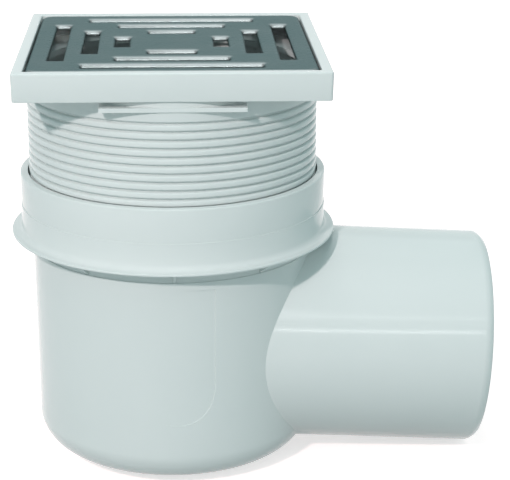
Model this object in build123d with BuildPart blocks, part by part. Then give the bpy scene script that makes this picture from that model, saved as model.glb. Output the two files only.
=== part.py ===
from build123d import *
from math import radians, sin
import os

# A floor gully with a water seal: a bowl with a side outlet, a square top frame on a ringed riser
# that slides and turns in the bowl's collar, a stamped steel grate and a lift-out trap insert.
# Millimetres, +Z up. The origin is the centre of the flat foot that the bowl stands on, and the
# outlet points along +X.

# Bowl
bowl_radius = 71.1
bowl_taper = 0.8
bowl_corner = 15.6
foot_inset = 30.3
floor_rise = 8.9
wall = 3.2

# Outlet spigot, falling away from the bowl until its end just clears the ground
outlet_radius = 55.0
outlet_wall = 3.2
outlet_fall = 3.0
outlet_length = 86.2
outlet_end_lift = 0.2
outlet_root_length = 12.9
outlet_root_swell = 0.4
lead_in_length = 5.2
lead_in_drop = 2.4

# Shoulder flange and collar
flange_set_down = 0.5
flange_thickness = 1.2
flange_width = 5.0
flange_edge = 0.4
flange_blend = 3.5
ledge_rise = 3.0
collar_overhang = 5.4
collar_wall = 3.8
collar_height = 26.4
collar_edge = 1.0
mould_line_height = 11.0
mould_line_step = 0.3
neck_height = 6.8
neck_step = 0.5

# Fins under the flange
fin_count = 10
fin_thickness = 1.4
fin_reach = 8.0

# Smooth sunk field on the front of the bowl
field_width = 39.0
field_foot = 37.0
field_top_drop = 10.9
field_depth = 0.3

# Riser
riser_play = 0.7
riser_wall = 3.2
riser_length = 68.4
riser_lead_in = 0.8
riser_gap = 5.5
ring_pitch = 4.0
ring_width = 1.6
ring_depth = 1.0
first_ring_drop = 10.2
last_ring_rise = 4.0

# Square top frame and its anchor bars
frame_overhang = 1.5
frame_height = 13.6
frame_draft = 1.25
frame_lip = 5.2
frame_floor = 3.0
frame_corner = 1.6
frame_edge = 0.9
frame_opening_step = 3.3
anchor_length = 68.0
anchor_thickness = 2.0
anchor_drop = 2.9
anchor_stand_off = 0.6

# Grate, drawn from one sheet
sheet = 1.5
grate_play = 0.5
grate_recess = 0.35
grate_corner = 7.0
grate_edge = 2.2
slot_width = 6.6
slot_corner = 1.0
slot_pitch = 15.4
slot_fans = 4
slot_web = 13.2
shortest_slot = 16.0
slot_roll = 3.0
slot_lip = 3.3

# Riser seal, in a groove near the collar's top
seal_clearance = 0.3
seal_groove_depth = 2.3
seal_groove_height = 6.6
seal_groove_drop = 3.2
seal_lip = 1.6

# Trap insert
gasket_thickness = 1.5
gasket_play = 0.4
insert_play = 0.5
insert_flange_thickness = 2.6
insert_wall = 2.4
funnel_rim = 10.7
funnel_depth = 22.0
dip_tube_radius = 26.0
dip_gap = 12.3
lift_bar_thickness = 4.0
lift_bar_height = 12.0
cup_channel = 12.0
cup_wall = 2.2
cup_rim_drop = 5.5
cup_floor_gap = 20.3
cup_corner = 6.0
bead_width = 2.5
bead_height = 2.5
bead_drop = 8.0
hanger_count = 3
hanger_angle = 18.0
hanger_play = 0.3
hanger_ring_width = 4.0
hanger_ring_height = 3.0

# Bowl, outlet and collar, from the ground up
bowl_bottom_radius = bowl_radius - bowl_taper
foot_radius = bowl_bottom_radius - foot_inset
outlet_reach = bowl_radius + outlet_length
outlet_root_end = bowl_radius + outlet_root_length
outlet_height = outlet_end_lift + outlet_radius + outlet_reach * sin(radians(outlet_fall))
outlet_crown = outlet_height + outlet_radius
flange_underside = outlet_crown - flange_set_down
flange_top = flange_underside + flange_thickness
ledge = outlet_crown + ledge_rise
collar_top = ledge + collar_height
collar_radius = bowl_radius + collar_overhang
collar_inside = collar_radius - collar_wall
flange_radius = collar_radius + flange_width
mouth_radius = bowl_radius - wall
mould_line = ledge + mould_line_height
neck_radius = bowl_radius - neck_step
neck_bottom = flange_underside - neck_height
field_top = flange_underside - field_top_drop
groove_radius = collar_inside + seal_groove_depth
groove_top = collar_top - seal_groove_drop
groove_bottom = groove_top - seal_groove_height

# Trap insert, hung from the ledge
insert_seat = ledge + gasket_thickness
insert_top = insert_seat + insert_flange_thickness
funnel_throat = insert_top - funnel_depth
funnel_mouth_radius = collar_inside - funnel_rim
dip_tube_inside = dip_tube_radius - insert_wall
bead_top = funnel_throat - bead_drop
bead_radius = dip_tube_radius + bead_width
cup_inside = dip_tube_radius + cup_channel
cup_radius = cup_inside + cup_wall
cup_rim = bead_top - cup_rim_drop
cup_underside = wall + cup_floor_gap
dip_tube_end = cup_underside + cup_wall + dip_gap
hanger_ring_inside = dip_tube_radius + hanger_play
hanger_ring_outside = hanger_ring_inside + hanger_ring_width
hanger_ring_top = bead_top + hanger_ring_height

# Riser, frame and grate, set a little above the insert
riser_radius = collar_inside - riser_play
riser_inside = riser_radius - riser_wall
riser_bottom = insert_top + riser_gap
frame_underside = riser_bottom + riser_length
frame_top = frame_underside + frame_height
frame_seat = frame_underside + frame_floor
frame_side = 2 * (riser_radius + frame_overhang)
frame_inside = frame_side - 2 * frame_lip
frame_opening_radius = riser_inside - frame_opening_step
grate_top = frame_top - grate_recess
grate_side = frame_inside - 2 * grate_play
plate_underside = grate_top - sheet
outer_slot_offset = grate_side / 2 - slot_web
slot_rows = 1 + int((outer_slot_offset - slot_web - shortest_slot / 2) / slot_pitch)

# The outlet's axis starts on the bowl's axis and tips down by the fall
outlet_axis = Axis((0, 0, outlet_height), Vector(1, 0, 0).rotate(Axis.Y, outlet_fall))
outlet_plane = Plane((0, 0, outlet_height), x_dir=outlet_axis.direction, z_dir=(0, -1, 0))


def corner(sketch, along, up):
    """The corner of a sketch that lies nearest to a point given in the sketch's own plane."""
    return sketch.vertices().sort_by_distance((along, up, 0))[0]


def fan_of_slots(growth):
    """Draw the grate's slots in the open sketch, longer and wider than the openings by the growth."""
    for row in range(slot_rows):
        offset = outer_slot_offset - row * slot_pitch
        length = 2 * (offset - slot_web)
        with PolarLocations(offset, slot_fans):
            RectangleRounded(length + growth, slot_width + growth, slot_corner + growth / 2, rotation=90)


# Sunk field: all that lies outside a skin just under the bowl's own, cut to a tongue with a round end
field_arc_height = field_foot + field_width / 2
with BuildPart() as field:
    with BuildSketch(Plane.XZ):
        with BuildLine():
            Polyline(
                (bowl_bottom_radius - field_depth, floor_rise),
                (bowl_radius - field_depth, neck_bottom),
                (flange_radius, neck_bottom),
                (flange_radius, floor_rise),
                close=True,
            )
        make_face()
    revolve(axis=Axis.Z)
    with BuildSketch(Plane.XZ):
        with BuildLine():
            Polyline(
                (-field_width / 2, field_arc_height),
                (-field_width / 2, field_top),
                (field_width / 2, field_top),
                (field_width / 2, field_arc_height),
            )
            ThreePointArc(
                (field_width / 2, field_arc_height),
                (0, field_foot),
                (-field_width / 2, field_arc_height),
            )
        make_face()
    extrude(amount=flange_radius, mode=Mode.INTERSECT)

# Body: bowl, outlet, flange, fins and collar are one moulding
with BuildPart() as body:
    with BuildSketch(Plane.XZ) as skin:
        with BuildLine():
            Polyline(
                (0, 0),
                (foot_radius, 0),
                (bowl_bottom_radius, floor_rise),
                (bowl_radius, neck_bottom),
                (neck_radius, neck_bottom),
                (neck_radius, flange_underside),
                (flange_radius, flange_underside),
                (flange_radius, flange_top),
                (collar_radius, flange_top),
                (collar_radius, mould_line),
                (collar_radius - mould_line_step, mould_line),
                (collar_radius, collar_top),
                (0, collar_top),
                close=True,
            )
        make_face()
        fillet(corner(skin, bowl_bottom_radius, floor_rise), bowl_corner)
        fillet(corner(skin, flange_radius, flange_underside), flange_edge)
        fillet(corner(skin, flange_radius, flange_top), flange_edge)
        fillet(corner(skin, collar_radius, flange_top), flange_blend)
        fillet(corner(skin, collar_radius, collar_top), collar_edge)
    revolve(axis=Axis.Z)
    add(field.part, mode=Mode.SUBTRACT)

    # Fins that brace the flange
    with BuildSketch(Plane.XZ.offset(-fin_thickness / 2)):
        with BuildLine():
            Polyline(
                (neck_radius - wall / 2, neck_bottom),
                (neck_radius, neck_bottom),
                (neck_radius + fin_reach, flange_underside),
                (neck_radius - wall / 2, flange_underside),
                close=True,
            )
        make_face()
    fin_solid = extrude(amount=fin_thickness, mode=Mode.PRIVATE)
    with PolarLocations(0, fin_count, start_angle=90):
        add(fin_solid)

    # Outlet spigot: a root with a little draft, the plain length that a socket takes, a rounded lead-in
    with BuildSketch(outlet_plane):
        with BuildLine():
            Polyline(
                (outlet_reach, outlet_radius - lead_in_drop),
                (outlet_reach, 0),
                (0, 0),
                (0, outlet_radius + outlet_root_swell),
                (outlet_root_end, outlet_radius),
                (outlet_reach - lead_in_length, outlet_radius),
            )
            TangentArc(
                (outlet_reach - lead_in_length, outlet_radius),
                (outlet_reach, outlet_radius - lead_in_drop),
                tangent=(1, 0),
            )
        make_face()
    revolve(axis=outlet_axis)

    # Hollow of the bowl and collar, with the ledge for the insert and the seal's groove
    with BuildSketch(Plane.XZ) as hollow:
        with BuildLine():
            Polyline(
                (0, wall),
                (foot_radius, wall),
                (bowl_bottom_radius - wall, floor_rise + wall),
                (mouth_radius, ledge),
                (collar_inside, ledge),
                (collar_inside, groove_bottom),
                (groove_radius, groove_bottom),
                (groove_radius, groove_top),
                (collar_inside, groove_top),
                (collar_inside, collar_top),
                (0, collar_top),
                close=True,
            )
        make_face()
        fillet(corner(hollow, bowl_bottom_radius - wall, floor_rise + wall), bowl_corner - wall)
    revolve(axis=Axis.Z, mode=Mode.SUBTRACT)

    # Bore of the outlet
    with BuildSketch(outlet_plane):
        with BuildLine():
            Polyline(
                (0, 0),
                (outlet_reach, 0),
                (outlet_reach, outlet_radius - outlet_wall),
                (0, outlet_radius - outlet_wall),
                close=True,
            )
        make_face()
    revolve(axis=outlet_axis, mode=Mode.SUBTRACT)
body.part.label = "body"

# Top frame: a square tray on the riser, with cutting rings and two anchor bars, one moulding
with BuildPart() as top_frame:
    with BuildSketch(Plane.XY.offset(frame_top)):
        RectangleRounded(frame_side, frame_side, frame_corner)
    extrude(amount=-frame_height, taper=frame_draft)
    with BuildSketch(Plane.XY.offset(frame_seat)):
        RectangleRounded(frame_inside, frame_inside, frame_corner)
    extrude(amount=frame_height - frame_floor, mode=Mode.SUBTRACT)
    fillet(top_frame.faces().sort_by(Axis.Z)[-1].edges(), frame_edge)

    # Anchor bars, front and back: straight plates whose face stands just clear of the riser
    anchor_face = riser_radius + anchor_stand_off
    with BuildSketch(Plane.XY.offset(frame_underside - anchor_drop - anchor_thickness)):
        Rectangle(anchor_length, 2 * anchor_face)
        Circle(riser_radius - riser_wall / 2, mode=Mode.SUBTRACT)
    extrude(amount=anchor_thickness)

    # Riser tube and the opening through the tray's floor
    with BuildSketch(Plane.XY.offset(riser_bottom)):
        Circle(riser_radius)
    extrude(amount=riser_length)
    with BuildSketch(Plane.XY.offset(riser_bottom)):
        Circle(riser_inside)
    extrude(amount=riser_length, mode=Mode.SUBTRACT)
    with BuildSketch(Plane.XY.offset(frame_underside)):
        Circle(frame_opening_radius)
    extrude(amount=frame_floor, mode=Mode.SUBTRACT)
    chamfer(top_frame.faces().sort_by(Axis.Z)[0].outer_wire().edges(), riser_lead_in)

    # Cutting rings down the riser
    first_ring = frame_underside - first_ring_drop
    ring_count = 1 + int((first_ring - riser_bottom - last_ring_rise) / ring_pitch)
    with BuildSketch(Plane.XZ):
        for ring in range(ring_count):
            ring_height = first_ring - ring * ring_pitch
            with BuildLine():
                Polyline(
                    (riser_radius, ring_height + ring_width / 2),
                    (riser_radius - ring_depth, ring_height),
                    (riser_radius, ring_height - ring_width / 2),
                    close=True,
                )
            make_face()
    revolve(axis=Axis.Z, mode=Mode.SUBTRACT)
top_frame.part.label = "top_frame"

# Grate: a drawn tray of sheet steel, its slots in four fans with their edges rolled down
with BuildPart() as grate:
    with BuildSketch(Plane.XY.offset(frame_seat)):
        RectangleRounded(grate_side, grate_side, grate_corner)
    extrude(amount=grate_top - frame_seat)
    fillet(grate.faces().sort_by(Axis.Z)[-1].edges(), grate_edge)
    with BuildSketch(Plane.XY.offset(frame_seat)):
        RectangleRounded(grate_side - 2 * sheet, grate_side - 2 * sheet, grate_corner - sheet)
    extrude(amount=plate_underside - frame_seat, mode=Mode.SUBTRACT)
    fillet(grate.edges().filter_by_position(Axis.Z, plate_underside, plate_underside), grate_edge - sheet)

    # Lips first, as solid tongues blended into the plate, then the slots through plate and lips
    with BuildSketch(Plane.XY.offset(plate_underside)):
        fan_of_slots(2 * sheet)
    extrude(amount=sheet - slot_lip)
    underside = grate.faces().sort_by_distance((0, 0, plate_underside))[0]
    lip_roots = [wire.edges() for wire in underside.inner_wires()]
    fillet([edge for edges in lip_roots for edge in edges], slot_roll - sheet)
    with BuildSketch(Plane.XY.offset(grate_top)):
        fan_of_slots(0)
    extrude(amount=-slot_lip, mode=Mode.SUBTRACT)
    slot_edges = [wire.edges() for wire in grate.faces().sort_by(Axis.Z)[-1].inner_wires()]
    fillet([edge for edges in slot_edges for edge in edges], slot_roll)
grate.part.label = "grate"

# Riser seal: a rubber ring in the collar's groove, its lip towards the riser
seal_outside = groove_radius - seal_clearance
seal_inside = riser_radius + seal_clearance
seal_bottom = groove_bottom + seal_clearance
seal_top = groove_top - seal_clearance
with BuildPart() as riser_seal:
    with BuildSketch(Plane.XZ):
        with BuildLine():
            Polyline(
                (seal_inside, seal_bottom),
                (seal_outside, seal_bottom),
                (seal_outside, seal_top),
                (collar_inside, seal_top),
                (seal_inside, seal_bottom + seal_lip),
                close=True,
            )
        make_face()
    revolve(axis=Axis.Z)
riser_seal.part.label = "riser_seal"

# Trap seal: a flat rubber ring between the bowl's ledge and the insert
with BuildPart() as trap_seal:
    with BuildSketch(Plane.XY.offset(ledge)):
        Circle(collar_inside - gasket_play)
        Circle(mouth_radius + gasket_play, mode=Mode.SUBTRACT)
    extrude(amount=gasket_thickness)
trap_seal.part.label = "trap_seal"

# Trap funnel: a seat flange, a cone and a dip tube with a lift bar across its mouth, one moulding
funnel_flare = (funnel_mouth_radius - dip_tube_inside) / funnel_depth
lift_bar_foot = dip_tube_inside + insert_wall / 2
lift_bar_head = lift_bar_foot + lift_bar_height * funnel_flare
with BuildPart() as trap_funnel:
    with BuildSketch(Plane.XZ):
        with BuildLine():
            Polyline(
                (collar_inside - insert_play, insert_seat),
                (collar_inside - insert_play, insert_top),
                (funnel_mouth_radius, insert_top),
                (dip_tube_inside, funnel_throat),
                (dip_tube_inside, dip_tube_end),
                (dip_tube_radius, dip_tube_end),
                (dip_tube_radius, bead_top - bead_height),
                (bead_radius, bead_top),
                (dip_tube_radius, bead_top),
                (dip_tube_radius, funnel_throat - insert_wall),
                (funnel_mouth_radius, insert_seat),
                close=True,
            )
        make_face()
    revolve(axis=Axis.Z)
    with BuildSketch(Plane.XZ):
        with BuildLine():
            Polyline(
                (-lift_bar_foot, funnel_throat),
                (lift_bar_foot, funnel_throat),
                (lift_bar_head, funnel_throat + lift_bar_height),
                (-lift_bar_head, funnel_throat + lift_bar_height),
                close=True,
            )
        make_face()
    extrude(amount=lift_bar_thickness / 2, both=True)
trap_funnel.part.label = "trap_funnel"

# Trap cup: it holds the water round the dip tube and hangs from the tube's bead by a snap ring
with BuildPart() as trap_cup:
    with BuildSketch(Plane.XZ) as cup_section:
        with BuildLine():
            Polyline(
                (0, cup_underside),
                (cup_radius, cup_underside),
                (cup_radius, cup_rim),
                (0, cup_rim),
                close=True,
            )
        make_face()
        fillet(corner(cup_section, cup_radius, cup_underside), cup_corner)
    revolve(axis=Axis.Z)
    with BuildSketch(Plane.XZ) as cup_hollow:
        with BuildLine():
            Polyline(
                (0, cup_underside + cup_wall),
                (cup_inside, cup_underside + cup_wall),
                (cup_inside, cup_rim),
                (0, cup_rim),
                close=True,
            )
        make_face()
        fillet(corner(cup_hollow, cup_inside, cup_underside + cup_wall), cup_corner - cup_wall)
    revolve(axis=Axis.Z, mode=Mode.SUBTRACT)
    with BuildSketch(Plane.XY.offset(bead_top)):
        Circle(hanger_ring_outside)
        Circle(hanger_ring_inside, mode=Mode.SUBTRACT)
    extrude(amount=hanger_ring_height)
    with BuildSketch(Plane.XZ):
        with BuildLine():
            Polyline(
                (hanger_ring_outside - hanger_ring_width / 2, bead_top),
                (cup_inside, bead_top),
                (cup_inside, cup_rim - hanger_ring_height),
                (cup_radius, cup_rim - hanger_ring_height),
                (cup_radius, hanger_ring_top),
                (hanger_ring_outside - hanger_ring_width / 2, hanger_ring_top),
                close=True,
            )
        make_face()
    hanger = revolve(axis=Axis.Z, revolution_arc=hanger_angle, mode=Mode.PRIVATE)
    with PolarLocations(0, hanger_count):
        add(hanger)
trap_cup.part.label = "trap_cup"

os.makedirs("parts", exist_ok=True)
for piece in (body, top_frame, grate, riser_seal, trap_seal, trap_funnel, trap_cup):
    export_step(piece.part, f"parts/{piece.part.label}.step")
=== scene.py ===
"""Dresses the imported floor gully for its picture: moulded body, ringed riser, steel grate and trap insert."""

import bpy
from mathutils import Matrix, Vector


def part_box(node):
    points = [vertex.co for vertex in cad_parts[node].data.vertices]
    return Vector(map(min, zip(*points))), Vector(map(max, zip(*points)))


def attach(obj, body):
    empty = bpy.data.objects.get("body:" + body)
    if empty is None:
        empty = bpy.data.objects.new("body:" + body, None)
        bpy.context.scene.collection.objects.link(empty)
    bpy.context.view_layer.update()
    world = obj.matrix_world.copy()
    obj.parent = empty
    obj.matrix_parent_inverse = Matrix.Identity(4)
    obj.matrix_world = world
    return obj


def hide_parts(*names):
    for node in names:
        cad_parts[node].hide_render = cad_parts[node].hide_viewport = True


bl_info = {
    "name": "Floor gully",
    "version": (1, 0, 0),
    "blender": (4, 5, 0),
    "location": "View3D > Sidebar > Gully",
    "description": "Builds the finished surfaces of a floor gully around its packed solids",
    "category": "Object",
}

import math

import bmesh
import bpy
from mathutils import Matrix, Vector

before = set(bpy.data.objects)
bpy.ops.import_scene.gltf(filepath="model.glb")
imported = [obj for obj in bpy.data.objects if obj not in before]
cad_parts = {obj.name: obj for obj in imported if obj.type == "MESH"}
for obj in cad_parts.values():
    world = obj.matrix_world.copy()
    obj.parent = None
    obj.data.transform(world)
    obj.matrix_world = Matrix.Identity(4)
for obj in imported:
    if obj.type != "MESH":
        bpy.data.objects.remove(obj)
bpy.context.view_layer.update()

MM = 0.001
BODY_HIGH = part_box("body")[1]
TRAY_LOW, TRAY_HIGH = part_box("top_frame")
GRATE_LOW, GRATE_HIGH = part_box("grate")

# Distances too small to see: points that a spin or a cut leaves on each other, and the play of a level or a bevel
SPIN_MERGE = 1e-7
CUT_MERGE = 0.003 * MM
HAIR = 1e-5

# Facets of a rounded corner, the turns from which an edge looks crisp, and the slope that parts level from steep
ROUNDING_STEP = 0.7 * MM
SHARP_PLASTIC = math.radians(25)
SHARP_STEEL = math.radians(35)
STEEP = 0.5

# Sockets of a mix node that belong to colours
MIX_FACTOR, MIX_FIRST, MIX_SECOND, MIX_RESULT = 0, 6, 7, 2

# What the lamps are aimed at, and the thin lamps for the outlet's gloss: name, two ends, share of the power
MIDDLE = Vector((0.02, 0.0, 0.12))
OUTLET_SIDE = Vector((0.11, -0.05, 0.065))
STRIP_WIDTH = 0.012
STRIPS = (
    ("strip", (-0.10, -1.570, 0.470), (0.75, -1.570, 0.740), 1.0),
    ("second_strip", (-0.10, -1.38, 0.86), (0.75, -1.38, 1.13), 0.35),
)


# Properties

def length(name, millimetres, description):
    """A size that a user can change, written in millimetres and kept in metres."""
    return bpy.props.FloatProperty(
        name=name, description=description, default=millimetres * MM, precision=5, unit="LENGTH", subtype="DISTANCE"
    )


def angle(name, degrees, description):
    """An angle that a user can change, written in degrees."""
    return bpy.props.FloatProperty(
        name=name, description=description, default=math.radians(degrees), unit="ROTATION", subtype="ANGLE"
    )


def colour(name, rgb, description):
    """A finish colour that a user can change, in linear values."""
    return bpy.props.FloatVectorProperty(
        name=name, description=description, default=rgb, size=3, min=0.0, max=1.0, subtype="COLOR"
    )


def share(name, value, description):
    """A plain factor from 0 to 1."""
    return bpy.props.FloatProperty(
        name=name, description=description, default=value, min=0.0, max=1.0, subtype="FACTOR"
    )


def count(name, number, description):
    """How many of something."""
    return bpy.props.IntProperty(name=name, description=description, default=number, min=1)


def strength(name, value, description):
    """The power of a lamp in watts, or a level of the surroundings."""
    return bpy.props.FloatProperty(name=name, description=description, default=value, min=0.0)


class GULLY_PG_body(bpy.types.PropertyGroup):
    """Sizes of the moulded body"""

    steps: count("Steps", 240, "Faces round a turned shape")
    wall: length("Wall", 3.2, "Wall of the bowl")
    bowl_radius: length("Bowl radius", 71.1, "Outside of the bowl at its top")
    bowl_taper: length("Bowl taper", 0.8, "How much narrower the bowl is at its bottom")
    bowl_corner: length("Bowl corner", 15.6, "Rounding of the bowl's bottom corner")
    foot_inset: length("Foot inset", 30.3, "From the bowl's side in to its flat foot")
    floor_rise: length("Floor rise", 8.9, "Rise of the floor from the foot to the corner")
    flange_underside: length("Flange underside", 117.9324, "Height of the shoulder flange")
    flange_thickness: length("Flange thickness", 1.2, "Thickness of the flange's rim")
    flange_edge: length("Flange edge", 0.4, "Rounding of the flange's upper rim")
    flange_foot_edge: length("Flange foot edge", 0.3, "Rounding of the flange's lower rim")
    flange_blend: length("Flange blend", 3.0, "Blend from the flange to the collar")
    ledge: length("Ledge", 121.4324, "Height of the ledge that the insert hangs from")
    collar_overhang: length("Collar overhang", 5.4, "How far the collar stands out from the bowl")
    collar_wall: length("Collar wall", 3.8, "Wall of the collar")
    collar_top: length("Collar top", 149.25, "Height of the collar's rim")
    collar_edge: length("Collar edge", 1.0, "Rounding of the collar's rim")
    collar_inner_edge: length("Collar inner edge", 0.15, "Flare of the collar's mouth")
    mould_line_height: length("Mould line height", 11.0, "Height of the parting step above the ledge")
    mould_line_step: length("Mould line step", 0.3, "Depth of the parting step")
    neck_height: length("Neck height", 6.8, "Height of the recessed neck under the flange")
    neck_step: length("Neck step", 0.5, "Depth of the recessed neck")
    fin_count: count("Fins", 10, "Fins that brace the flange")
    fin_thickness: length("Fin thickness", 1.4, "Thickness of a fin")
    fin_reach: length("Fin reach", 8.0, "How far a fin runs out under the flange")
    fin_root: length("Fin root", 0.4, "How far a fin's foot runs into the bowl's shoulder")
    field_width: length("Field width", 39.0, "Width of the sunk field")
    field_foot: length("Field foot", 37.0, "Height of the sunk field's lower end")
    field_top_drop: length("Field top drop", 10.9, "From the flange down to the sunk field")
    field_depth: length("Field depth", 0.45, "How deep the field is sunk at its right side; its left side is flush")
    field_lean: angle("Field lean", 32.0, "Lean of the field's walls to the right")
    groove_depth: length("Groove depth", 2.3, "Depth of the seal's groove")
    groove_height: length("Groove height", 6.6, "Height of the seal's groove")
    groove_drop: length("Groove drop", 4.62, "From the collar's rim down to the groove")
    outlet_radius: length("Outlet radius", 55.0, "Outside of the outlet spigot")
    outlet_wall: length("Outlet wall", 3.2, "Wall of the outlet spigot")
    outlet_height: length("Outlet height", 63.4324, "Height of the outlet's axis on the bowl's axis")
    outlet_length: length("Outlet length", 86.2, "Outlet beyond the bowl's side")
    outlet_root_length: length("Outlet root", 12.9, "Drafted root of the outlet")
    outlet_root_swell: length("Outlet root swell", 0.4, "Draft of the root, at the bowl's axis")
    outlet_fall: angle("Outlet fall", 3.0, "Fall of the outlet")
    lead_in_length: length("Lead-in length", 5.2, "Rounded end of the outlet")
    lead_in_drop: length("Lead-in drop", 2.4, "How far the end is drawn in")
    bore_edge: length("Bore edge", 0.3, "Flare of the bore at the outlet's end")


class GULLY_PG_riser(bpy.types.PropertyGroup):
    """Sizes of the top frame and its riser"""

    steps: count("Steps", 240, "Faces round a turned shape")
    riser_radius: length("Riser radius", 72.0, "Outside of the riser")
    riser_wall: length("Riser wall", 3.2, "Wall of the riser")
    riser_lead_in: length("Riser lead-in", 0.8, "Chamfer at the riser's lower end")
    ring_pitch: length("Ring pitch", 4.04, "From one cutting ring to the next")
    ring_width: length("Ring width", 1.6, "Width of a cutting ring")
    ring_root: length("Ring root", 0.7, "Width of a cutting ring at its root")
    ring_depth: length("Ring depth", 1.6, "Depth of a cutting ring")
    ring_crest: length("Ring crest", 0.6, "Rounding of the crests between the rings")
    first_ring_drop: length("First ring drop", 10.65, "From the frame down to the first ring")
    last_ring_rise: length("Last ring rise", 4.0, "Plain length under the last ring")
    frame_height: length("Frame height", 13.6, "Height of the square frame")
    frame_lip: length("Frame lip", 5.2, "Width of the frame's rim")
    frame_floor: length("Frame floor", 3.0, "Thickness of the tray's floor")
    frame_corner: length("Frame corner", 1.6, "Rounding of the upright corners")
    frame_edge: length("Frame edge", 0.9, "Rounding of the rim")
    frame_foot_edge: length("Frame foot edge", 0.4, "Rounding of the frame's lower edge")
    frame_draft: angle("Frame draft", 1.25, "Draft of the frame's sides")
    opening_radius: length("Opening radius", 65.5, "Opening in the tray's floor")
    anchor_length: length("Anchor length", 68.0, "Length of an anchor bar")
    anchor_thickness: length("Anchor thickness", 2.0, "Thickness of an anchor bar")
    anchor_drop: length("Anchor drop", 2.9, "From the frame down to an anchor bar")
    anchor_stand_off: length("Anchor stand-off", 0.6, "How far a bar's face stands out from the riser")


class GULLY_PG_grate(bpy.types.PropertyGroup):
    """Sizes of the drawn steel grate"""

    sheet: length("Sheet", 1.5, "Thickness of the steel")
    corner: length("Corner", 7.0, "Rounding of the grate's corners")
    edge: length("Edge", 2.2, "Bend radius of the turned-down edge")
    slot_width: length("Slot width", 7.2, "Clear width of a slot")
    slot_corner: length("Slot corner", 1.0, "Rounding of a slot's corners")
    slot_pitch: length("Slot pitch", 15.4, "From one row of slots to the next")
    slot_rows: count("Slot rows", 3, "Rows of slots in a fan")
    slot_fans: count("Slot fans", 4, "Fans of slots")
    slot_web: length("Slot web", 12.7, "Grate's side to the outer row; also a row's offset less its half length")
    ease: length("Ease", 9.0, "Radius of the gentle start of a slot's rolled edge")
    ease_angle: angle("Ease angle", 16.0, "Turn of the gentle start")
    roll: length("Roll", 1.7, "Radius of a slot's rolled edge")
    lip: length("Lip", 2.5, "Depth of a slot's rolled edge")
    guard: length("Guard", 0.3, "Flat ring round each bend, which keeps the plate flat")
    roll_steps: count("Roll steps", 10, "Faces across a bend")


class GULLY_PG_finish(bpy.types.PropertyGroup):
    """Colours and finishes"""

    body_plastic: colour("Body plastic", (0.700, 0.725, 0.718), "Pale grey moulded plastic of the body")
    frame_plastic: colour("Frame plastic", (0.705, 0.730, 0.723), "Pale grey moulded plastic of the frame and riser")
    insert_plastic: colour("Insert plastic", (0.070, 0.092, 0.095), "Dark grey plastic of the trap insert")
    plastic_roughness: share("Plastic roughness", 0.12, "Roughness of the moulded skin")
    steel: colour("Steel", (0.260, 0.290, 0.292), "Satin stainless steel")
    steel_edge: colour("Steel at a glance", (0.305, 0.412, 0.420), "Steel seen at a low angle")
    steel_roughness: share("Steel roughness", 0.25, "Roughness of the brushed face")
    rubber: colour("Rubber", (0.018, 0.019, 0.020), "Black rubber of the seals")


class GULLY_PG_stage(bpy.types.PropertyGroup):
    """Camera, lamps and floor"""

    camera_position: bpy.props.FloatVectorProperty(
        name="Camera position", description="Where the camera stands", default=(-0.0030, -0.8245, 0.3814), size=3,
        precision=5, unit="LENGTH", subtype="XYZ"
    )
    camera_yaw: angle("Camera yaw", 3.10, "Turn of the camera to the right")
    camera_pitch: angle("Camera pitch", 18.265, "Tip of the camera down from level")
    camera_roll: angle("Camera roll", 0.329, "Lean of the camera")
    camera_lens: bpy.props.FloatProperty(
        name="Camera lens", description="Focal length on a sensor 36 mm wide", default=119.47, unit="CAMERA"
    )
    surround_level: strength("Surround level", 0.61, "Even light from all round")
    surround_tint: colour("Surround tint", (0.73, 0.99, 1.0), "Cool tint of the even light")
    key_power: strength("Key power", 23.6, "Lamp to the left of the camera")
    key_tint: colour("Key tint", (1.0, 0.91, 0.91), "Warm tint of the key and fill lamps")
    key_size: length("Key size", 110.0, "Side of the key lamp")
    overhead_power: strength("Overhead power", 2.6, "Long lamp above")
    overhead_width: length("Overhead width", 200.0, "Width of the lamp above")
    overhead_length: length("Overhead length", 1480.0, "Length of the lamp above, from front to back")
    overhead_shift: length("Overhead shift", -350.0, "From the middle back to the lamp above; below 0 it is in front")
    fill_power: strength("Fill power", 9.0, "Low lamp behind, for the far side")
    panel_power: strength("Panel power", 5.0, "Wide lamp beside the camera that only shines in reflections")
    back_panel_power: strength("Back panel power", 3.0, "Faint lamp behind that only shines in reflections")
    strip_power: strength("Strip power", 3.0, "Thin lamps that draw lines along the outlet")
    floor_size: length("Floor size", 12000.0, "Side of the floor")
    floor_bounce: colour("Floor bounce", (0.46, 0.50, 0.50), "What the floor gives back to the object")
    floor_seen: colour("Floor as seen", (1.0, 0.76, 0.75), "Floor to the eye, which evens out the cool light")
    floor_glow: colour("Floor glow", (0.62, 0.63, 0.63), "Glow of the floor to the eye, which makes it white")


# Meshes

def new_object(name, bm):
    """Turn a bmesh into an object of the scene."""
    mesh = bpy.data.meshes.new(name)
    bm.to_mesh(mesh)
    bm.free()
    piece = bpy.data.objects.new(name, mesh)
    bpy.context.scene.collection.objects.link(piece)
    return piece


def vertices_in(geometry):
    """The vertices among what an operator gives back."""
    return [item for item in geometry if isinstance(item, bmesh.types.BMVert)]


def bevel(bm, parts, offset, segments, affect):
    """Round corners or edges off; the offset is how far the rounding runs along what it meets."""
    bmesh.ops.bevel(
        bm, geom=parts, offset=offset, offset_type="OFFSET", segments=segments, profile=0.5, affect=affect,
        material=-1
    )


def round_corner(bm, vertex, radius, segments):
    """Round one corner of a wire to a radius, which sets how far the bevel runs along its two edges."""
    first, second = ((edge.other_vert(vertex).co - vertex.co).normalized() for edge in vertex.link_edges)
    half_turn = (math.pi - first.angle(second)) / 2
    bevel(bm, [vertex], radius * math.tan(half_turn), segments, "VERTICES")


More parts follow.
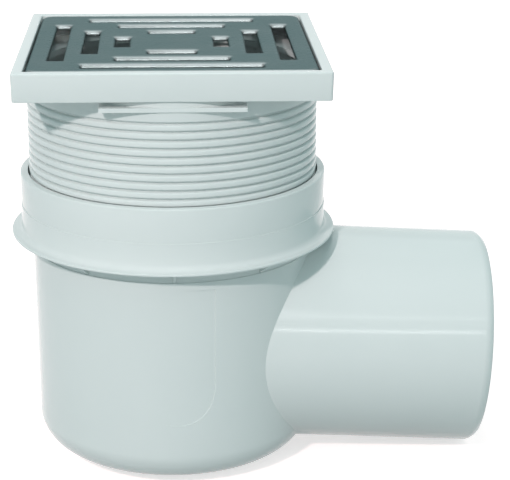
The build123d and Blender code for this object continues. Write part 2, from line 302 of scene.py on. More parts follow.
def turned(profile, steps, closed=False):
    """A turned solid: a profile of (radius, height, rounding) corners spun about Z."""
    bm = bmesh.new()
    corners = [bm.verts.new((radius, 0, height)) for radius, height, _ in profile]
    for start, end in zip(corners, corners[1:]):
        bm.edges.new((start, end))
    if closed:
        bm.edges.new((corners[-1], corners[0]))
    for vertex, (_, _, rounding) in zip(corners, profile):
        if rounding > 0:
            round_corner(bm, vertex, rounding, segments=max(3, round(rounding / ROUNDING_STEP)))
    bmesh.ops.spin(
        bm, geom=bm.verts[:] + bm.edges[:], cent=(0, 0, 0), axis=(0, 0, 1), angle=2 * math.pi, steps=steps,
        use_merge=True
    )
    bmesh.ops.remove_doubles(bm, verts=bm.verts, dist=SPIN_MERGE)
    bmesh.ops.recalc_face_normals(bm, faces=bm.faces)
    return bm


def block(low, high):
    """A plain block between two corners."""
    bm = bmesh.new()
    bmesh.ops.create_cube(bm, size=1.0)
    bmesh.ops.scale(bm, vec=high - low, verts=bm.verts)
    bmesh.ops.translate(bm, vec=(low + high) / 2, verts=bm.verts)
    return bm


def combine(piece, tool, operation):
    """Join the tool to the piece or cut it away, and drop the tool."""
    modifier = piece.modifiers.new(operation, "BOOLEAN")
    modifier.operation = operation
    modifier.solver = "EXACT"
    modifier.object = tool
    apply_modifiers(piece)
    bpy.data.objects.remove(tool)
    if not piece.data.polygons:
        raise RuntimeError(f"nothing is left of {piece.name} after {operation}")


def apply_modifiers(piece):
    """Replace a piece's mesh by what its modifiers make of it."""
    shaped = bpy.data.meshes.new_from_object(piece.evaluated_get(bpy.context.evaluated_depsgraph_get()))
    piece.modifiers.clear()
    piece.data = shaped
    shaped.name = piece.name


def clean(piece):
    """Merge points that lie on each other after the cuts, and drop faces without an area."""
    bm = bmesh.new()
    bm.from_mesh(piece.data)
    bmesh.ops.remove_doubles(bm, verts=bm.verts, dist=CUT_MERGE)
    bmesh.ops.dissolve_degenerate(bm, edges=bm.edges, dist=CUT_MERGE)
    bmesh.ops.recalc_face_normals(bm, faces=bm.faces)
    bm.to_mesh(piece.data)
    bm.free()


def smooth_shade(piece, sharp_angle):
    """Smooth shading with crisp edges where faces turn by more than an angle."""
    piece.data.shade_smooth()
    piece.data.set_sharp_from_angle(angle=sharp_angle)


def seat(piece, body, slot, material, *nodes):
    """Give a piece its finish and its body, and hide the solids that it stands for."""
    piece.data.materials.clear()
    piece.data.materials.append(material)
    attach(piece, body)
    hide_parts(*nodes)


# Shader groups and materials

def feed(tree, inputs, values):
    """Give inputs their values: a socket is linked, anything else is set."""
    for key, value in values.items():
        if isinstance(value, bpy.types.NodeSocket):
            tree.links.new(value, inputs[key])
        else:
            inputs[key].default_value = value


def add_node(tree, kind, values, **settings):
    """The outputs of a new shader node with its settings and the values of its inputs."""
    node = tree.nodes.new(kind)
    for key, value in settings.items():
        setattr(node, key, value)
    feed(tree, node.inputs, values)
    return node.outputs


def blend_colours(tree, factor, first, second, blend_type="MIX"):
    """Mix two colours by a factor; each of the three is a socket or a plain value."""
    values = {MIX_FACTOR: factor, MIX_FIRST: first, MIX_SECOND: second}
    return add_node(tree, "ShaderNodeMix", values, data_type="RGBA", blend_type=blend_type)[MIX_RESULT]


def calculate(tree, operation, *terms):
    """What a maths node makes of its terms; each is a socket or a plain value."""
    return add_node(tree, "ShaderNodeMath", dict(enumerate(terms)), operation=operation)["Value"]


def remap(tree, value, from_low, from_high, to_low=0.0, to_high=1.0):
    """A value moved smoothly from one range to another."""
    values = {"Value": value, "From Min": from_low, "From Max": from_high, "To Min": to_low, "To Max": to_high}
    return add_node(tree, "ShaderNodeMapRange", values, interpolation_type="SMOOTHSTEP")["Result"]


def object_place(tree):
    """Coordinates that stay with the object."""
    return add_node(tree, "ShaderNodeTexCoord", {})["Object"]


def stretch(tree, place, scale, turn=(0.0, 0.0, 0.0)):
    """Coordinates drawn out and turned."""
    return add_node(tree, "ShaderNodeMapping", {"Vector": place, "Scale": scale, "Rotation": turn})["Vector"]


def noise(tree, place, scale, detail, roughness=0.5):
    """A cloudy pattern at some coordinates."""
    values = {"Vector": place, "Scale": scale, "Detail": detail, "Roughness": roughness}
    return add_node(tree, "ShaderNodeTexNoise", values)["Fac"]


def new_group(name, *numbers):
    """A shader group that takes a tint and named numbers, and makes a colour, a roughness and a height."""
    group = bpy.data.node_groups.new(name, "ShaderNodeTree")
    for side, tint, plain in (("INPUT", "Tint", numbers), ("OUTPUT", "Color", ("Roughness", "Height"))):
        group.interface.new_socket(tint, in_out=side, socket_type="NodeSocketColor")
        for label in plain:
            group.interface.new_socket(label, in_out=side, socket_type="NodeSocketFloat")
    return group, group.nodes.new("NodeGroupInput").outputs, group.nodes.new("NodeGroupOutput").inputs


def moulded_skin_group():
    """Moulded plastic: faint clouding, flow streaks, fine scuffs and the waviness of a cooled skin."""
    group, given, made = new_group("moulded_skin", "Clouding", "Scuffs", "Roughness")
    place = object_place(group)
    cloud = noise(group, place, scale=22.0, detail=4.0, roughness=0.55)
    streaks = stretch(group, place, (1.0, 1.0, 9.0), (0.0, 0.08, 0.0))
    scuff = noise(group, streaks, scale=90.0, detail=6.0, roughness=0.7)
    grain = noise(group, place, scale=900.0, detail=2.0)
    shade = calculate(group, "MULTIPLY", remap(group, cloud, 0.35, 0.65), given["Clouding"])
    clouded = blend_colours(group, shade, given["Tint"], (0.52, 0.58, 0.58, 1.0))
    marks = calculate(group, "MULTIPLY", remap(group, scuff, 0.60, 0.78), given["Scuffs"])
    feed(group, made, {
        "Color": blend_colours(group, marks, clouded, (0.86, 0.90, 0.90, 1.0)),
        "Roughness": calculate(group, "MULTIPLY_ADD", remap(group, scuff, 0.55, 0.8), 0.06, given["Roughness"]),
        "Height": calculate(group, "MULTIPLY_ADD", grain, 0.05, cloud),
    })


def drawn_steel_group():
    """Satin stainless sheet: a fine brushed grain along X, soft stains and a few hair scratches."""
    group, given, made = new_group("drawn_steel", "Stain", "Roughness")
    place = object_place(group)
    brushing = noise(group, stretch(group, place, (0.06, 1.0, 1.0)), scale=1400.0, detail=3.0, roughness=0.6)
    stain = noise(group, place, scale=38.0, detail=3.0, roughness=0.5)
    slant = stretch(group, place, (0.12, 1.0, 1.0), (0.0, 0.0, 0.5))
    scratch = remap(group, noise(group, slant, scale=260.0, detail=2.0), 0.66, 0.76, 0.0, 0.35)
    dulled = calculate(group, "MULTIPLY", remap(group, stain, 0.35, 0.65), given["Stain"])
    stained = blend_colours(group, dulled, given["Tint"], (0.85, 0.9, 0.9, 1.0), "MULTIPLY")
    feed(group, made, {
        "Color": blend_colours(group, scratch, stained, (0.30, 0.35, 0.35, 1.0)),
        "Roughness": calculate(group, "MULTIPLY_ADD", brushing, 0.06, given["Roughness"]),
        "Height": brushing,
    })


def new_material(name):
    """The node tree of a new material and the inputs of its shader."""
    material = bpy.data.materials.new(name)
    material.use_nodes = True
    return material.node_tree, material.node_tree.nodes["Principled BSDF"].inputs


def group_material(name, group_name, values, bump_strength, bump_distance, **finish):
    """A material whose colour, roughness and bump come from a shader group, with plain values on the rest."""
    tree, shader = new_material(name)
    skin = add_node(tree, "ShaderNodeGroup", values, node_tree=bpy.data.node_groups[group_name])
    relief = {"Height": skin["Height"], "Strength": bump_strength, "Distance": bump_distance}
    feed(tree, shader, {
        "Base Color": skin["Color"],
        "Roughness": skin["Roughness"],
        "Normal": add_node(tree, "ShaderNodeBump", relief)["Normal"],
    })
    feed(tree, shader, {key.replace("_", " "): value for key, value in finish.items()})


def rgba(values):
    """A colour with full alpha."""
    return (*values, 1.0)


def make_plastic(name, tint, roughness, clouding, scuffs):
    """Moulded plastic in one of the gully's greys."""
    values = {"Tint": rgba(tint), "Clouding": clouding, "Scuffs": scuffs, "Roughness": roughness}
    group_material(name, "moulded_skin", values, bump_strength=0.10, bump_distance=0.4 * MM, IOR=1.25)


def make_rubber(name, tint):
    """Black rubber with a dusty bloom."""
    tree, shader = new_material(name)
    bloom = noise(tree, object_place(tree), scale=160.0, detail=5.0)
    dust = remap(tree, bloom, 0.45, 0.75, 0.0, 0.25)
    feed(tree, shader, {
        "Base Color": blend_colours(tree, dust, rgba(tint), (0.09, 0.09, 0.09, 1.0)),
        "Roughness": remap(tree, bloom, 0.3, 0.7, 0.55, 0.75),
    })


# Pieces

class GULLY_OT_finishes(bpy.types.Operator):
    """Build the shader groups and the materials that the pieces share"""

    bl_idname = "gully.finishes"
    bl_label = "Finishes"

    def execute(self, context):
        finish = context.scene.gully_finish
        moulded_skin_group()
        drawn_steel_group()
        make_plastic("moulded_body", finish.body_plastic, finish.plastic_roughness, clouding=0.04, scuffs=0.012)
        make_plastic("moulded_frame", finish.frame_plastic, finish.plastic_roughness, clouding=0.04, scuffs=0.03)
        make_plastic("moulded_insert", finish.insert_plastic, finish.plastic_roughness, clouding=0.10, scuffs=0.05)
        group_material(
            "satin_steel", "drawn_steel",
            {"Tint": rgba(finish.steel), "Stain": 0.5, "Roughness": finish.steel_roughness},
            bump_strength=0.04, bump_distance=0.05 * MM,
            Metallic=1.0, Specular_Tint=rgba(finish.steel_edge)
        )
        make_rubber("seal_rubber", finish.rubber)
        return {"FINISHED"}


def bowl_outside(sizes):
    """Outer corners of the bowl, flange and collar, from the foot up."""
    bottom_radius = sizes.bowl_radius - sizes.bowl_taper
    neck_radius = sizes.bowl_radius - sizes.neck_step
    neck_bottom = sizes.flange_underside - sizes.neck_height
    flange_top = sizes.flange_underside + sizes.flange_thickness
    collar_radius = sizes.bowl_radius + sizes.collar_overhang
    mould_line = sizes.ledge + sizes.mould_line_height
    return [
        (0, 0, 0),
        (bottom_radius - sizes.foot_inset, 0, 0),
        (bottom_radius, sizes.floor_rise, sizes.bowl_corner),
        (sizes.bowl_radius, neck_bottom, 0),
        (neck_radius, neck_bottom, 0),
        (neck_radius, sizes.flange_underside, 0),
        (BODY_HIGH.y, sizes.flange_underside, sizes.flange_foot_edge),
        (BODY_HIGH.y, flange_top, sizes.flange_edge),
        (collar_radius, flange_top, sizes.flange_blend),
        (collar_radius, mould_line, 0),
        (collar_radius - sizes.mould_line_step, mould_line, 0),
        (collar_radius, sizes.collar_top, sizes.collar_edge),
        (0, sizes.collar_top, 0),
    ]


def bowl_inside(sizes):
    """Corners of the hollow: bowl, ledge, seal groove and the collar's flared mouth."""
    bottom_radius = sizes.bowl_radius - sizes.bowl_taper - sizes.wall
    mouth_radius = sizes.bowl_radius - sizes.wall
    collar_inside = sizes.bowl_radius + sizes.collar_overhang - sizes.collar_wall
    groove_top = sizes.collar_top - sizes.groove_drop
    groove_bottom = groove_top - sizes.groove_height
    groove_radius = collar_inside + sizes.groove_depth
    over = sizes.collar_inner_edge
    return [
        (0, sizes.wall, 0),
        (sizes.bowl_radius - sizes.bowl_taper - sizes.foot_inset, sizes.wall, 0),
        (bottom_radius, sizes.floor_rise + sizes.wall, sizes.bowl_corner - sizes.wall),
        (mouth_radius, sizes.ledge, 0),
        (collar_inside, sizes.ledge, 0),
        (collar_inside, groove_bottom, 0),
        (groove_radius, groove_bottom, 0),
        (groove_radius, groove_top, 0),
        (collar_inside, groove_top, 0),
        (collar_inside, sizes.collar_top - over, 0),
        (collar_inside + 2 * over, sizes.collar_top + over, 0),
        (0, sizes.collar_top + over, 0),
    ]


def outlet_shape(sizes, profile):
    """Turn a profile of (radius, distance along the outlet, rounding) and lay it on the outlet's falling axis."""
    bm = turned(profile, sizes.steps)
    lay = Matrix.Translation((0, 0, sizes.outlet_height)) @ Matrix.Rotation(math.pi / 2 + sizes.outlet_fall, 4, "Y")
    bmesh.ops.transform(bm, matrix=lay, verts=bm.verts)
    return bm


def outlet_outside(sizes):
    """The spigot as a solid rod: drafted root, plain length and drawn-in end."""
    reach = sizes.bowl_radius + sizes.outlet_length
    end_radius = sizes.outlet_radius - sizes.lead_in_drop
    return outlet_shape(sizes, [
        (0, 0, 0),
        (sizes.outlet_radius + sizes.outlet_root_swell, 0, 0),
        (sizes.outlet_radius, sizes.bowl_radius + sizes.outlet_root_length, 0),
        (sizes.outlet_radius, reach - sizes.lead_in_length / 2, sizes.lead_in_length),
        (end_radius, reach, 0),
        (0, reach, 0),
    ])


def outlet_bore(sizes):
    """The hollow of the spigot, flared a little at its end."""
    reach = sizes.bowl_radius + sizes.outlet_length
    radius = sizes.outlet_radius - sizes.outlet_wall
    return outlet_shape(sizes, [
        (0, 0, 0),
        (radius, 0, 0),
        (radius, reach - sizes.bore_edge, 0),
        (radius + 2 * sizes.bore_edge, reach + sizes.bore_edge, 0),
        (0, reach + sizes.bore_edge, 0),
    ])


def flange_fins(sizes):
    """All the fins under the flange, as separate wedges that reach into neck and flange."""
    bm = bmesh.new()
    neck_radius = sizes.bowl_radius - sizes.neck_step
    neck_bottom = sizes.flange_underside - sizes.neck_height
    root = neck_radius - sizes.wall / 2
    top = sizes.flange_underside + sizes.flange_thickness / 2
    foot = neck_bottom - sizes.fin_root
    outline = (
        (root, foot), (neck_radius - sizes.neck_step, foot), (neck_radius + sizes.fin_reach, sizes.flange_underside),
        (neck_radius + sizes.fin_reach, top), (root, top),
    )
    for index in range(sizes.fin_count):
        corners = [bm.verts.new((radius, -sizes.fin_thickness / 2, height)) for radius, height in outline]
        side = bm.faces.new(corners)
        far = vertices_in(bmesh.ops.extrude_face_region(bm, geom=[side])["geom"])
        bmesh.ops.translate(bm, vec=(0, sizes.fin_thickness, 0), verts=far)
        turn = Matrix.Rotation(math.pi / 2 + 2 * math.pi * index / sizes.fin_count, 4, "Z")
        bmesh.ops.transform(bm, matrix=turn, verts=corners + far)
    bmesh.ops.recalc_face_normals(bm, faces=bm.faces)
    return bm


def field_half_turn(sizes):
    """Angle from the bowl's front to the field's side."""
    return math.asin(sizes.field_width / 2 / sizes.bowl_radius)


def field_tongue(sizes):
    """A tongue-shaped block through the bowl's front, leaning so that it is in its place at the bowl's skin."""
    bm = bmesh.new()
    top = sizes.flange_underside - sizes.field_top_drop
    lean = sizes.bowl_radius * math.tan(sizes.field_lean)
    skin_share = math.cos(field_half_turn(sizes)) - 0.5
    bmesh.ops.create_grid(bm, x_segments=1, y_segments=1, size=0.5)
    bmesh.ops.scale(bm, vec=(sizes.field_width, top - sizes.field_foot, 1), verts=bm.verts)
    lower = [vertex for vertex in bm.verts if vertex.co.y < 0]
    bevel(bm, lower, sizes.field_width / 2 - HAIR, segments=24, affect="VERTICES")
    upright = Matrix.Translation((-lean * skin_share, -sizes.bowl_radius / 2, (top + sizes.field_foot) / 2))
    bmesh.ops.transform(bm, matrix=upright @ Matrix.Rotation(math.pi / 2, 4, "X"), verts=bm.verts)
    front = vertices_in(bmesh.ops.extrude_face_region(bm, geom=bm.faces[:])["geom"])
    bmesh.ops.translate(bm, vec=(lean, -sizes.bowl_radius, 0), verts=front)
    bmesh.ops.recalc_face_normals(bm, faces=bm.faces)
    return bm


def field_skin(sizes):
    """The bowl's own skin, moved so that it is flush at the field's left side and sunk at its right side."""
    low = sizes.floor_rise
    high = sizes.flange_underside - sizes.neck_height
    bm = turned([
        (0, low, 0),
        (sizes.bowl_radius - sizes.bowl_taper, low, 0),
        (sizes.bowl_radius, high, 0),
        (0, high, 0),
    ], sizes.steps)
    half_turn = field_half_turn(sizes)
    shift = Vector((-1 / math.sin(half_turn), 1 / math.cos(half_turn), 0)) * sizes.field_depth / 2
    bmesh.ops.translate(bm, vec=shift, verts=bm.verts)
    return bm


class GULLY_OT_body(bpy.types.Operator):
    """Build the moulded body: bowl, outlet, flange, fins and collar"""

    bl_idname = "gully.body"
    bl_label = "Body"

    def execute(self, context):
        sizes = context.scene.gully_body
        piece = new_object("gully_body", turned(bowl_outside(sizes), sizes.steps))
        field = new_object("field", field_tongue(sizes))
        combine(field, new_object("field_skin", field_skin(sizes)), "DIFFERENCE")
        combine(piece, field, "DIFFERENCE")
        combine(piece, new_object("fins", flange_fins(sizes)), "UNION")
        combine(piece, new_object("outlet", outlet_outside(sizes)), "UNION")
        combine(piece, new_object("hollow", turned(bowl_inside(sizes), sizes.steps)), "DIFFERENCE")
        combine(piece, new_object("bore", outlet_bore(sizes)), "DIFFERENCE")
        clean(piece)
        smooth_shade(piece, SHARP_PLASTIC)
        seat(piece, "bowl", "body_plastic", bpy.data.materials["moulded_body"], "body")
        return {"FINISHED"}


def height_of(edge):
    """How far an edge rises from one end to the other."""
    return abs(edge.verts[0].co.z - edge.verts[1].co.z)


def is_corner_at(edge, height):
    """Whether an edge lies at a height, between a level face and a steep one."""
    level = all(abs(vertex.co.z - height) < HAIR for vertex in edge.verts)
    slopes = sorted(abs(face.normal.z) for face in edge.link_faces)
    return level and slopes[0] < STEEP < slopes[-1]


def round_edges(bm, edges, radius, segments):
    """Round some edges over and bring the normals up to date."""
    bevel(bm, edges, radius, segments, "EDGES")
    bm.normal_update()


def frame_tray(sizes):
    """The square tray: a block with a rim, rounded corners and edges, and drafted sides."""
    low = Vector((-TRAY_HIGH.x, -TRAY_HIGH.y, TRAY_HIGH.z - sizes.frame_height))
    bm = block(low, TRAY_HIGH)
    foot = [vertex for vertex in bm.verts if vertex.co.z < TRAY_HIGH.z - sizes.frame_height / 2]
    pull = 1 - sizes.frame_height * math.tan(sizes.frame_draft) / TRAY_HIGH.x
    bmesh.ops.scale(bm, vec=(pull, pull, 1), verts=foot)
    top = max(bm.faces, key=lambda face: face.calc_center_median().z)
    bmesh.ops.inset_region(bm, faces=[top], thickness=sizes.frame_lip, use_even_offset=True)
    seat_corners = vertices_in(bmesh.ops.extrude_face_region(bm, geom=[top])["geom"])
    bmesh.ops.translate(bm, vec=(0, 0, sizes.frame_floor - sizes.frame_height), verts=seat_corners)
    bmesh.ops.delete(bm, geom=[top], context="FACES_ONLY")
    bmesh.ops.recalc_face_normals(bm, faces=bm.faces)
    upright = [edge for edge in bm.edges if height_of(edge) > sizes.frame_floor]
    round_edges(bm, upright, sizes.frame_corner, segments=6)
    round_edges(bm, [edge for edge in bm.edges if is_corner_at(edge, TRAY_HIGH.z)], sizes.frame_edge, segments=5)
    round_edges(bm, [edge for edge in bm.edges if is_corner_at(edge, low.z)], sizes.frame_foot_edge, segments=3)
    return bm


def riser_tube(sizes):
    """The riser with its cutting rings, its head let into the tray's floor."""
    inside = sizes.riser_radius - sizes.riser_wall
    underside = TRAY_HIGH.z - sizes.frame_height
    first_ring = underside - sizes.first_ring_drop
    rings = 1 + int((first_ring - TRAY_LOW.z - sizes.last_ring_rise) / sizes.ring_pitch)
    profile = [
        (inside, underside + sizes.frame_floor / 2, 0),
        (inside, TRAY_LOW.z, 0),
        (sizes.riser_radius - sizes.riser_lead_in, TRAY_LOW.z, 0),
        (sizes.riser_radius, TRAY_LOW.z + sizes.riser_lead_in, 0),
    ]
    for ring in reversed(range(rings)):
        height = first_ring - ring * sizes.ring_pitch
        profile += [
            (sizes.riser_radius, height - sizes.ring_width / 2, sizes.ring_crest),
            (sizes.riser_radius - sizes.ring_depth, height - sizes.ring_root / 2, 0),
            (sizes.riser_radius - sizes.ring_depth, height + sizes.ring_root / 2, 0),
            (sizes.riser_radius, height + sizes.ring_width / 2, sizes.ring_crest),
        ]
    profile.append((sizes.riser_radius, underside + sizes.frame_floor / 2, 0))
    return turned(profile, sizes.steps, closed=True)


def cylinder(radius, low, high, steps):
    """A plain cylinder about Z."""
    return turned([(0, low, 0), (radius, low, 0), (radius, high, 0), (0, high, 0)], steps)


class GULLY_OT_riser(bpy.types.Operator):
    """Build the square frame with its ringed riser and anchor bars"""

    bl_idname = "gully.riser"
    bl_label = "Frame and riser"

    def execute(self, context):
        sizes = context.scene.gully_riser
        underside = TRAY_HIGH.z - sizes.frame_height
        piece = new_object("top_frame_and_riser", frame_tray(sizes))
        opening = cylinder(sizes.opening_radius, underside - MM, underside + sizes.frame_floor + MM, sizes.steps)
        combine(piece, new_object("opening", opening), "DIFFERENCE")

        bar_top = underside - sizes.anchor_drop
        bar_low = bar_top - sizes.anchor_thickness
        face = sizes.riser_radius + sizes.anchor_stand_off
        corner = Vector((sizes.anchor_length / 2, face, bar_top))
        bars = new_object("bars", block(Vector((-corner.x, -face, bar_low)), corner))
        within = cylinder(sizes.riser_radius - sizes.riser_wall / 2, bar_low - MM, bar_top + MM, sizes.steps)
        combine(bars, new_object("within", within), "DIFFERENCE")
        riser = new_object("riser", riser_tube(sizes))
        combine(riser, bars, "UNION")
        combine(piece, riser, "UNION")
        smooth_shade(piece, SHARP_PLASTIC)
        seat(piece, "riser", "frame_plastic", bpy.data.materials["moulded_frame"], "top_frame")
        return {"FINISHED"}


class BendLoop:
    """A loop of edges with round corners that can be drawn in or out and down, one bend at a time."""

    def __init__(self, bm, centre, half_sides, corner, height, turn):
        self.bm = bm
        self.corner = corner
        disc = bmesh.ops.create_circle(bm, cap_ends=False, segments=32, radius=corner)["verts"]
        self.groups = []
        for sign_x in (-1, 1):
            for sign_y in (-1, 1):
                shift = Vector((sign_x * (half_sides[0] - corner), sign_y * (half_sides[1] - corner), 0))
                self.groups.append((shift, []))
        for vertex in disc:
            angle_now = math.atan2(vertex.co.y, vertex.co.x)
            index = 2 * int(abs(angle_now) < math.pi / 2) + int(angle_now > 0)
            self.groups[index][1].append(vertex)
        place = Matrix.Translation(centre) @ Matrix.Rotation(turn, 4, "Z")
        moved = []
        for shift, members in self.groups:
            bmesh.ops.translate(bm, vec=shift, verts=members)
            bmesh.ops.transform(bm, matrix=Matrix.Translation((0, 0, height)) @ place, verts=members)
            moved.append((place @ shift, members))
        self.groups = moved
        self.edges = list({edge for vertex in disc for edge in vertex.link_edges})

    def draw(self, outwards, downwards):
        """Extrude the loop, growing its corners by a distance and lowering it."""
        grown = bmesh.ops.extrude_edge_only(self.bm, edges=self.edges)["geom"]
        fresh = vertices_in(grown)
        factor = (self.corner + outwards) / self.corner
        groups = []
        for centre, members in self.groups:
            near = [min(fresh, key=lambda vertex: (vertex.co - member.co).length_squared) for member in members]
            bmesh.ops.scale(self.bm, vec=(factor, factor, 1), space=Matrix.Translation(-centre), verts=near)
            groups.append((centre, near))
        for _, members in groups:
            bmesh.ops.translate(self.bm, vec=(0, 0, -downwards), verts=members)
        self.groups = groups
        self.corner += outwards
        self.edges = [item for item in grown if isinstance(item, bmesh.types.BMEdge)]

    def bend(self, radius, steps, direction, start=0.0, stop=math.pi / 2):
        """A bend from one slope to a steeper one, towards the outside or the inside."""
        for step in range(steps):
            before, after = (start + (stop - start) * (step + extra) / steps for extra in (0, 1))
            self.draw(
                direction * radius * (math.sin(after) - math.sin(before)),
                radius * (math.cos(before) - math.cos(after)),
            )


def grate_plate(bm, sizes):
    """The flat plate with its turned-down edge and the rolled slots, as one open skin."""
    half = GRATE_HIGH.x
    top = GRATE_HIGH.z
    flat = half - sizes.edge - sizes.guard
    rim = BendLoop(bm, Vector((0, 0, 0)), (flat, flat), sizes.corner - sizes.edge - sizes.guard, top, 0)
    loops = [rim]
    outer_offset = half - sizes.slot_web
    eased = sizes.ease_angle
    room = sizes.ease * math.sin(eased) + sizes.roll * (1 - math.sin(eased)) + sizes.guard
    drop = sizes.ease * (1 - math.cos(eased)) + sizes.roll * math.cos(eased)
    for fan in range(sizes.slot_fans):
        turn = 2 * math.pi * fan / sizes.slot_fans
        for row in range(sizes.slot_rows):
            offset = outer_offset - row * sizes.slot_pitch
            half_sides = (sizes.slot_width / 2 + room, offset - sizes.slot_web + room)
            centre = Matrix.Rotation(turn, 3, "Z") @ Vector((offset, 0, 0))
            loops.append(BendLoop(bm, centre, half_sides, sizes.slot_corner + room, top, turn))
    bmesh.ops.triangle_fill(
        bm, use_beauty=True, use_dissolve=False, edges=[edge for loop in loops for edge in loop.edges],
        normal=(0, 0, 1)
    )
    for loop in loops:
        if loop is rim:
            loop.draw(sizes.guard, 0)
            loop.bend(sizes.edge, sizes.roll_steps, 1)
            loop.draw(0, top - sizes.edge - GRATE_LOW.z)
        else:
            loop.draw(-sizes.guard, 0)
            loop.bend(sizes.ease, sizes.roll_steps // 2, -1, stop=eased)
            loop.bend(sizes.roll, sizes.roll_steps, -1, start=eased)
            loop.draw(0, sizes.lip - drop)
    bmesh.ops.recalc_face_normals(bm, faces=bm.faces)
    if max(bm.faces, key=lambda face: face.calc_area()).normal.z < 0:
        bmesh.ops.reverse_faces(bm, faces=bm.faces)


class GULLY_OT_grate(bpy.types.Operator):
    """Build the drawn steel grate with its rolled slots"""

    bl_idname = "gully.grate"
    bl_label = "Grate"

    def execute(self, context):
        sizes = context.scene.gully_grate
        bm = bmesh.new()
        grate_plate(bm, sizes)
        piece = new_object("slotted_grate", bm)
        thicken = piece.modifiers.new("sheet", "SOLIDIFY")
        thicken.thickness = sizes.sheet
        thicken.offset = -1
        thicken.use_even_offset = True
        apply_modifiers(piece)
        smooth_shade(piece, SHARP_STEEL)
        seat(piece, "riser", "grate_steel", bpy.data.materials["satin_steel"], "grate")
        return {"FINISHED"}


class GULLY_OT_insert(bpy.types.Operator):
    """Finish the trap insert and the two rubber seals, whose solids stay as they are"""

    bl_idname = "gully.insert"
    bl_label = "Trap insert and seals"

    def execute(self, context):
        finishes = {
            "trap_funnel": "moulded_insert",
            "trap_cup": "moulded_insert",
            "trap_seal": "seal_rubber",
            "riser_seal": "seal_rubber",
        }
        for node, material in finishes.items():
            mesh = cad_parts[node].data
            mesh.materials.clear()
            mesh.materials.append(bpy.data.materials[material])
        return {"FINISHED"}


# Stage

def seen_directly(tree):
    """1 for what the camera sees, straight on or in a reflection or through glass."""
    path = add_node(tree, "ShaderNodeLightPath", {})
    seen = calculate(tree, "MAXIMUM", path["Is Camera Ray"], path["Is Glossy Ray"])
    return calculate(tree, "MAXIMUM", seen, path["Is Transmission Ray"])


def make_world(scene, level, tint):
    """White surroundings to the eye, and an even light of a plain level on the object."""
    world = bpy.data.worlds.new("surroundings")
    world.use_nodes = True
    tree = world.node_tree
    lit = rgba(level * part for part in tint)
    light = blend_colours(tree, seen_directly(tree), lit, (1.0, 1.0, 1.0, 1.0))
    feed(tree, tree.nodes["Background"].inputs, {"Color": light})
    scene.world = world


def make_floor(stage):
    """A pale floor that looks white, keeps the shadow and gives back little light."""
    bm = bmesh.new()
    bmesh.ops.create_grid(bm, x_segments=8, y_segments=8, size=stage.floor_size / 2)
    floor = new_object("floor", bm)
    tree, shader = new_material("pale_floor")
    seen = seen_directly(tree)
    feed(tree, shader, {
        "Base Color": blend_colours(tree, seen, rgba(stage.floor_bounce), rgba(stage.floor_seen)),
        "Roughness": 1.0,
        "Specular IOR Level": 0.0,
        "Emission Color": blend_colours(tree, seen, (0.0, 0.0, 0.0, 1.0), rgba(stage.floor_glow)),
        "Emission Strength": 1.0,
    })
    floor.data.materials.append(bpy.data.materials["pale_floor"])


def new_lamp(name, power, width, height):
    """A rectangular lamp at the origin."""
    lamp = bpy.data.lights.new(name, "AREA")
    lamp.shape = "RECTANGLE"
    lamp.size = width
    lamp.size_y = height
    lamp.energy = power
    holder = bpy.data.objects.new(name, lamp)
    bpy.context.scene.collection.objects.link(holder)
    return holder


def make_strip(name, start, end, target, power):
    """A thin lamp from one point to another, turned about its length to face a target."""
    holder = new_lamp(name, power, (end - start).length, STRIP_WIDTH)
    middle = (start + end) / 2
    along = (end - start).normalized()
    across = along.cross(target - middle).normalized()
    holder.visible_diffuse = False
    turn = Matrix((along, across, along.cross(across))).transposed().to_4x4()
    holder.matrix_world = Matrix.Translation(middle) @ turn


def make_lamp(name, azimuth, elevation, distance, power, width, height, target=MIDDLE, diffuse=True, glossy=True):
    """A rectangular lamp, placed by its bearing from the camera's side towards the left and its height angle."""
    holder = new_lamp(name, power, width, height)
    holder.visible_diffuse = diffuse
    holder.visible_glossy = glossy
    left, up = math.radians(azimuth), math.radians(elevation)
    holder.location = target + distance * Vector(
        (-math.sin(left) * math.cos(up), -math.cos(left) * math.cos(up), math.sin(up))
    )
    holder.rotation_euler = (target - holder.location).to_track_quat("-Z", "Y").to_euler()
    return holder


def make_camera(scene, stage):
    """The camera at the photograph's viewing angle."""
    camera = bpy.data.cameras.new("camera")
    camera.lens = stage.camera_lens
    camera.sensor_width = 36.0
    holder = bpy.data.objects.new("camera", camera)
    scene.collection.objects.link(holder)
    turn = (
        Matrix.Rotation(-stage.camera_yaw, 4, "Z")
        @ Matrix.Rotation(math.pi / 2 - stage.camera_pitch, 4, "X")
        @ Matrix.Rotation(stage.camera_roll, 4, "Z")
    )
    holder.matrix_world = Matrix.Translation(stage.camera_position) @ turn
    scene.camera = holder


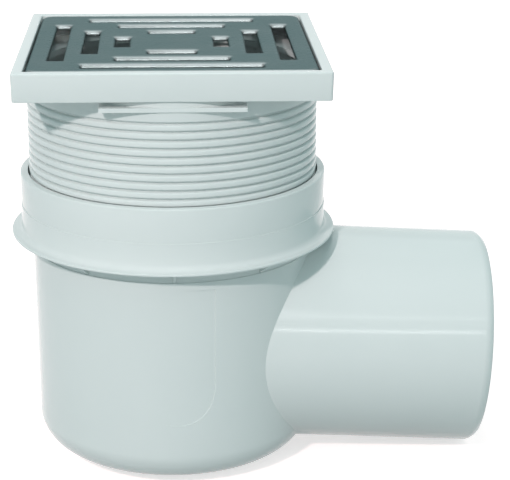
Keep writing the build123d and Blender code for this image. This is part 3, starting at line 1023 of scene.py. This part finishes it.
class GULLY_OT_stage(bpy.types.Operator):
    """Build the floor, the lamps, the surroundings and the camera"""

    bl_idname = "gully.stage"
    bl_label = "Stage"

    def execute(self, context):
        scene = context.scene
        stage = scene.gully_stage
        scene.view_settings.view_transform = "Standard"
        make_world(scene, stage.surround_level, stage.surround_tint)
        make_floor(stage)
        key = make_lamp(
            "key", azimuth=25, elevation=33.5, distance=2.20, power=stage.key_power, width=stage.key_size,
            height=stage.key_size, glossy=False
        )
        make_lamp(
            "overhead", azimuth=0, elevation=89, distance=1.30, power=stage.overhead_power, width=stage.overhead_width,
            height=stage.overhead_length, target=MIDDLE + Vector((0, stage.overhead_shift, 0))
        )
        fill = make_lamp(
            "fill", azimuth=190, elevation=12, distance=2.20, power=stage.fill_power, width=0.40, height=0.40,
            glossy=False
        )
        for warm in (key, fill):
            warm.data.color = stage.key_tint
        make_lamp(
            "panel", azimuth=10, elevation=34, distance=1.70, power=stage.panel_power, width=1.10, height=0.35,
            diffuse=False
        )
        make_lamp(
            "back_panel", azimuth=180, elevation=52, distance=1.60, power=stage.back_panel_power, width=1.20,
            height=1.00, diffuse=False
        )
        for name, start, end, part in STRIPS:
            make_strip(name, Vector(start), Vector(end), OUTLET_SIDE, part * stage.strip_power)
        make_camera(scene, stage)
        return {"FINISHED"}


class GULLY_PT_panel(bpy.types.Panel):
    """The pieces of the gully, in the order in which they are built"""

    bl_idname = "GULLY_PT_panel"
    bl_label = "Floor gully"
    bl_space_type = "VIEW_3D"
    bl_region_type = "UI"
    bl_category = "Gully"

    def draw(self, context):
        for operator in OPERATORS:
            self.layout.operator(operator.bl_idname)


GROUPS = {
    "gully_body": GULLY_PG_body,
    "gully_riser": GULLY_PG_riser,
    "gully_grate": GULLY_PG_grate,
    "gully_finish": GULLY_PG_finish,
    "gully_stage": GULLY_PG_stage,
}
OPERATORS = (
    GULLY_OT_finishes, GULLY_OT_body, GULLY_OT_riser, GULLY_OT_grate, GULLY_OT_insert, GULLY_OT_stage,
)


def register():
    for name, group in GROUPS.items():
        bpy.utils.register_class(group)
        setattr(bpy.types.Scene, name, bpy.props.PointerProperty(type=group))
    for operator in OPERATORS:
        bpy.utils.register_class(operator)
    bpy.utils.register_class(GULLY_PT_panel)


def unregister():
    bpy.utils.unregister_class(GULLY_PT_panel)
    for operator in reversed(OPERATORS):
        bpy.utils.unregister_class(operator)
    for name, group in reversed(GROUPS.items()):
        delattr(bpy.types.Scene, name)
        bpy.utils.unregister_class(group)


def main():
    register()
    bpy.ops.gully.finishes()
    bpy.ops.gully.body()
    bpy.ops.gully.riser()
    bpy.ops.gully.grate()
    bpy.ops.gully.insert()
    bpy.ops.gully.stage()


if __name__ == "__main__":
    main()
